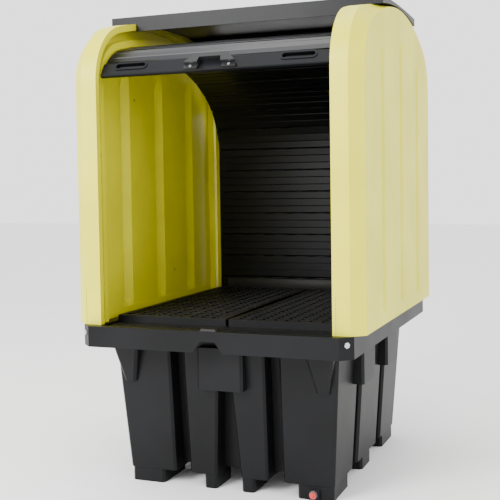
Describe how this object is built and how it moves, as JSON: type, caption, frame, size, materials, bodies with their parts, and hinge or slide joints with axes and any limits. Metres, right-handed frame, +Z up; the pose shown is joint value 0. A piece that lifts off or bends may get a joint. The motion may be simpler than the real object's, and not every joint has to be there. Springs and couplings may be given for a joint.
{
  "type": "hazmat roll-top spill pallet",
  "caption": "Covered spill containment pallet: black sump on skid feet, yellow side panels, ridge cap, two roll-up slatted doors, lift-out deck grates and a drain plug.",
  "frame": {"origin": "on the floor under the middle of the base", "axes": "+Z up, front door faces -Y, +X to the right seen from the front"},
  "size_m": [1.68, 1.91, 2.738],
  "materials": {
    "sump_black": "rotationally moulded polyethylene, satin, fine texture",
    "panel_yellow": "rotationally moulded polyethylene, satin yellow",
    "cap_black": "moulded polyethylene, satin",
    "grate_black": "moulded polyethylene",
    "slat_black": "extruded slat, semi-gloss",
    "rail_black": "extruded rail, semi-gloss",
    "hasp_black": "moulded, satin",
    "steel": "zinc plated",
    "brass": "threaded insert",
    "fitting_grey": "moulded fitting",
    "seal": "rubber",
    "plug_red": "red plug",
    "plug_grey": "small moulded plug"
  },
  "bodies": {
    "base": {"sump_rim": "sump_black", "sump_tub": "sump_black", "corner_columns": "sump_black", "middle_columns": "sump_black", "skid_feet": "sump_black", "rim_braces": "sump_black", "side_panel_right": "panel_yellow", "side_panel_left": "panel_yellow", "fill_plugs": "plug_grey", "panel_bolts": "steel", "panel_inserts": "brass", "corner_bolts": "steel", "ridge_cap": "cap_black", "cap_screws": "steel", "grate_posts": "sump_black", "drain_fitting": "fitting_grey", "drain_nut": "fitting_grey"},
    "deck_right": {"deck_grate_right": "grate_black"},
    "deck_left": {"deck_grate_left": "grate_black"},
    "gasket": {"drain_gasket": "seal"},
    "plug": {"drain_plug": "plug_red"},
    "front_bottom_rail": {"front_rail": "rail_black", "front_hasp": "hasp_black", "front_hasp_screws": "steel"},
    "front_group_1": {"front_slats_1": "slat_black"},
    "front_group_2": {"front_slats_2": "slat_black"},
    "front_group_3": {"front_slats_3": "slat_black"},
    "front_group_4": {"front_slats_4": "slat_black"},
    "front_group_5": {"front_slats_5": "slat_black"},
    "front_group_6": {"front_slats_6": "slat_black"},
    "front_group_7": {"front_slats_7": "slat_black"},
    "front_group_8": {"front_slats_8": "slat_black"},
    "front_group_9": {"front_slats_9": "slat_black"},
    "front_group_10": {"front_slats_10": "slat_black"},
    "front_group_11": {"front_slats_11": "slat_black"},
    "front_group_12": {"front_slats_12": "slat_black"},
    "rear_bottom_rail": {"rear_rail": "rail_black", "rear_hasp": "hasp_black", "rear_hasp_screws": "steel"},
    "rear_group_1": {"rear_slats_1": "slat_black"},
    "rear_group_2": {"rear_slats_2": "slat_black"},
    "rear_group_3": {"rear_slats_3": "slat_black"},
    "rear_group_4": {"rear_slats_4": "slat_black"},
    "rear_group_5": {"rear_slats_5": "slat_black"},
    "rear_group_6": {"rear_slats_6": "slat_black"},
    "rear_group_7": {"rear_slats_7": "slat_black"},
    "rear_group_8": {"rear_slats_8": "slat_black"},
    "rear_group_9": {"rear_slats_9": "slat_black"},
    "rear_group_10": {"rear_slats_10": "slat_black"},
    "rear_group_11": {"rear_slats_11": "slat_black"},
    "rear_group_12": {"rear_slats_12": "slat_black"}
  },
  "joints": [
    {"name": "deck_right_lift", "type": "slide", "parent": "base", "child": "deck_right", "axis": [0, 0, 1], "range_m": [0, 0.2]},
    {"name": "deck_left_lift", "type": "slide", "parent": "base", "child": "deck_left", "axis": [0, 0, 1], "range_m": [0, 0.2]},
    {"name": "plug_draw", "type": "slide", "parent": "base", "child": "gasket", "axis": [0, -1, 0], "range_m": [0, 0.008]},
    {"name": "plug_turn", "type": "hinge", "parent": "gasket", "child": "plug", "pos_m": [0.5, -0.7125, 0.033], "axis": [0, -1, 0], "range_deg": [0, 120.01]},
    {"name": "front_door", "type": "hinge", "parent": "base", "child": "front_bottom_rail", "pos_m": [0, 1.34753, 1.5754], "axis": [1, 0, 0], "range_deg": [0, 34.35]},
    {"name": "front_group_1_turn", "type": "hinge", "parent": "base", "child": "front_group_1", "pos_m": [0, 0.47282, 1.6389], "axis": [1, 0, 0], "range_deg": [0, 54.56]},
    {"name": "front_group_2_turn", "type": "hinge", "parent": "base", "child": "front_group_2", "pos_m": [0, 0.02844, 1.71026], "axis": [1, 0, 0], "range_deg": [0, 77.27]},
    {"name": "front_group_3_turn", "type": "hinge", "parent": "base", "child": "front_group_3", "pos_m": [0, -0.01239, 1.72293], "axis": [1, 0, 0], "range_deg": [0, 80.49]},
    {"name": "front_group_4_turn", "type": "hinge", "parent": "base", "child": "front_group_4", "pos_m": [0, -0.04645, 1.73968], "axis": [1, 0, 0], "range_deg": [0, 83.71]},
    {"name": "front_group_5_turn", "type": "hinge", "parent": "base", "child": "front_group_5", "pos_m": [0, -0.0743, 1.76004], "axis": [1, 0, 0], "range_deg": [0, 86.93]},
    {"name": "front_group_6_turn", "type": "hinge", "parent": "base", "child": "front_group_6", "pos_m": [0, -0.09638, 1.78362], "axis": [1, 0, 0], "range_deg": [0, 90.14]},
    {"name": "front_group_7_turn", "type": "hinge", "parent": "base", "child": "front_group_7", "pos_m": [0, -0.11309, 1.81007], "axis": [1, 0, 0], "range_deg": [0, 93.36]},
    {"name": "front_group_8_turn", "type": "hinge", "parent": "base", "child": "front_group_8", "pos_m": [0, -0.10734, 1.78583], "axis": [1, 0, 0], "range_deg": [0, 91.07]},
    {"name": "front_group_9_turn", "type": "hinge", "parent": "base", "child": "front_group_9", "pos_m": [0, -0.04545, 1.50529], "axis": [1, 0, 0], "range_deg": [0, 70.04]},
    {"name": "front_group_10_turn", "type": "hinge", "parent": "base", "child": "front_group_10", "pos_m": [0, 0, 1.00512], "axis": [1, 0, 0], "range_deg": [0, 49.33]},
    {"name": "front_group_11_turn", "type": "hinge", "parent": "base", "child": "front_group_11", "pos_m": [0, 0.00169, 1.04072], "axis": [1, 0, 0], "range_deg": [0, 50.4]},
    {"name": "front_group_12_turn", "type": "hinge", "parent": "base", "child": "front_group_12", "pos_m": [0, 0.05894, 1.58461], "axis": [1, 0, 0], "range_deg": [0, 74.95]},
    {"name": "rear_door", "type": "hinge", "parent": "base", "child": "rear_bottom_rail", "pos_m": [0, -0.61108, 1.4329], "axis": [1, 0, 0], "range_deg": [0, 53.14]},
    {"name": "rear_group_1_turn", "type": "hinge", "parent": "base", "child": "rear_group_1", "pos_m": [0, -0.40152, 1.47533], "axis": [1, 0, 0], "range_deg": [0, 61.74]},
    {"name": "rear_group_2_turn", "type": "hinge", "parent": "base", "child": "rear_group_2", "pos_m": [0, -0.24828, 1.52491], "axis": [1, 0, 0], "range_deg": [0, 70.36]},
    {"name": "rear_group_3_turn", "type": "hinge", "parent": "base", "child": "rear_group_3", "pos_m": [0, -0.13504, 1.57963], "axis": [1, 0, 0], "range_deg": [0, 78.99]},
    {"name": "rear_group_4_turn", "type": "hinge", "parent": "base", "child": "rear_group_4", "pos_m": [0, -0.05132, 1.63795], "axis": [1, 0, 0], "range_deg": [0, 87.61]},
    {"name": "rear_group_5_turn", "type": "hinge", "parent": "base", "child": "rear_group_5", "pos_m": [0, 0.00954, 1.69888], "axis": [1, 0, 0], "range_deg": [0, 96.24]},
    {"name": "rear_group_6_turn", "type": "hinge", "parent": "base", "child": "rear_group_6", "pos_m": [0, 0.04552, 1.75011], "axis": [1, 0, 0], "range_deg": [0, 103.3]},
    {"name": "rear_group_7_turn", "type": "hinge", "parent": "base", "child": "rear_group_7", "pos_m": [0, 0.01889, 1.68638], "axis": [1, 0, 0], "range_deg": [0, 95.75]},
    {"name": "rear_group_8_turn", "type": "hinge", "parent": "base", "child": "rear_group_8", "pos_m": [0, 0.00197, 1.60864], "axis": [1, 0, 0], "range_deg": [0, 88.21]},
    {"name": "rear_group_9_turn", "type": "hinge", "parent": "base", "child": "rear_group_9", "pos_m": [0, 0, 1.5914], "axis": [1, 0, 0], "range_deg": [0, 86.7]},
    {"name": "rear_group_10_turn", "type": "hinge", "parent": "base", "child": "rear_group_10", "pos_m": [0, -0.00779, 1.64337], "axis": [1, 0, 0], "range_deg": [0, 91.41]},
    {"name": "rear_group_11_turn", "type": "hinge", "parent": "base", "child": "rear_group_11", "pos_m": [0, -0.02917, 1.71511], "axis": [1, 0, 0], "range_deg": [0, 98.95]},
    {"name": "rear_group_12_turn", "type": "hinge", "parent": "base", "child": "rear_group_12", "pos_m": [0, -0.02891, 1.72439], "axis": [1, 0, 0], "range_deg": [0, 99.77]}
  ],
  "couplings": [
    {"joint": "plug_turn", "follows": "plug_draw", "rad_per_m": 261.77},
    {"joint": "front_group_1_turn", "follows": "front_door", "ratio": 1.5885},
    {"joint": "front_group_2_turn", "follows": "front_door", "ratio": 2.2498},
    {"joint": "front_group_3_turn", "follows": "front_door", "ratio": 2.3435},
    {"joint": "front_group_4_turn", "follows": "front_door", "ratio": 2.4372},
    {"joint": "front_group_5_turn", "follows": "front_door", "ratio": 2.5309},
    {"joint": "front_group_6_turn", "follows": "front_door", "ratio": 2.6246},
    {"joint": "front_group_7_turn", "follows": "front_door", "ratio": 2.7183},
    {"joint": "front_group_8_turn", "follows": "front_door", "ratio": 2.6517},
    {"joint": "front_group_9_turn", "follows": "front_door", "ratio": 2.0392},
    {"joint": "front_group_10_turn", "follows": "front_door", "ratio": 1.4362},
    {"joint": "front_group_11_turn", "follows": "front_door", "ratio": 1.4675},
    {"joint": "front_group_12_turn", "follows": "front_door", "ratio": 2.1821},
    {"joint": "rear_group_1_turn", "follows": "rear_door", "ratio": 1.1618},
    {"joint": "rear_group_2_turn", "follows": "rear_door", "ratio": 1.3242},
    {"joint": "rear_group_3_turn", "follows": "rear_door", "ratio": 1.4865},
    {"joint": "rear_group_4_turn", "follows": "rear_door", "ratio": 1.6488},
    {"joint": "rear_group_5_turn", "follows": "rear_door", "ratio": 1.8112},
    {"joint": "rear_group_6_turn", "follows": "rear_door", "ratio": 1.9439},
    {"joint": "rear_group_7_turn", "follows": "rear_door", "ratio": 1.802},
    {"joint": "rear_group_8_turn", "follows": "rear_door", "ratio": 1.66},
    {"joint": "rear_group_9_turn", "follows": "rear_door", "ratio": 1.6317},
    {"joint": "rear_group_10_turn", "follows": "rear_door", "ratio": 1.7202},
    {"joint": "rear_group_11_turn", "follows": "rear_door", "ratio": 1.8622},
    {"joint": "rear_group_12_turn", "follows": "rear_door", "ratio": 1.8776}
  ]
}
